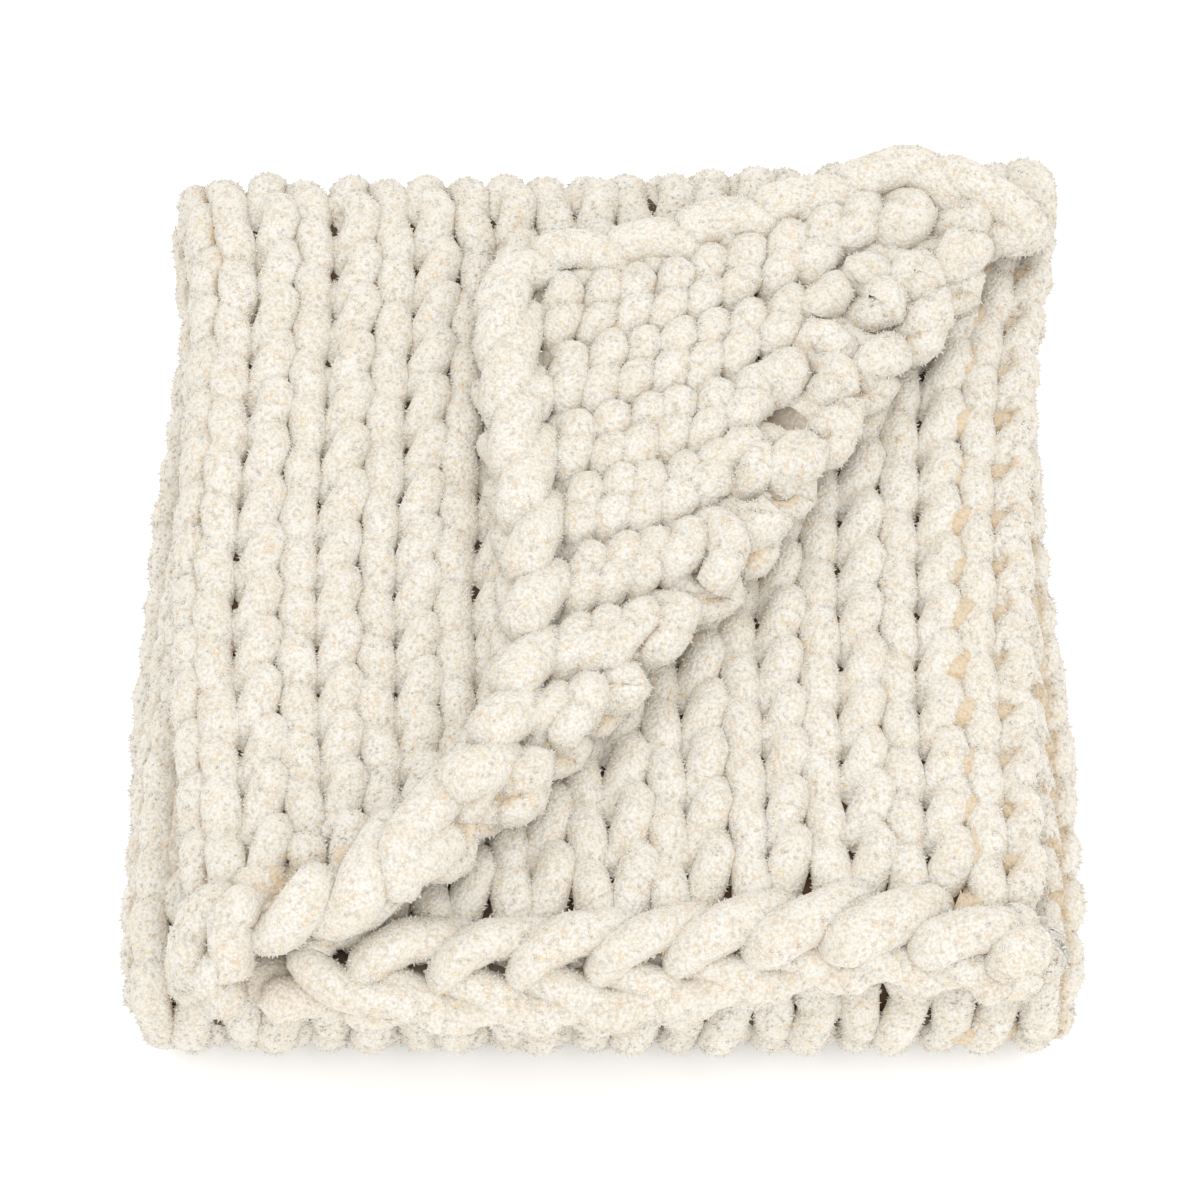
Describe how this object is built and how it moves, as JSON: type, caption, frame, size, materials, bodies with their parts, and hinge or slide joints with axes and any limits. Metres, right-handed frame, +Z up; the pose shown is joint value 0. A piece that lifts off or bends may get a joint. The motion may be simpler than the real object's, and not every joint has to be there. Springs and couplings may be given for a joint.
{
  "type": "folded chunky knit blanket",
  "caption": "Thick hand-knitted throw blanket in cream chenille yarn, folded into a square stack with the front corner of the top layer turned back.",
  "frame": {"origin": "centre of the stack's footprint, on the surface it rests on", "axes": "+Z up, +X along the front fold to the right, +Y to the back fold"},
  "size_m": [0.5036, 0.5216, 0.1572],
  "materials": {
    "chenille": "matte, deep soft pile"
  },
  "bodies": {
    "root": {"blanket": "chenille"}
  },
  "joints": []
}
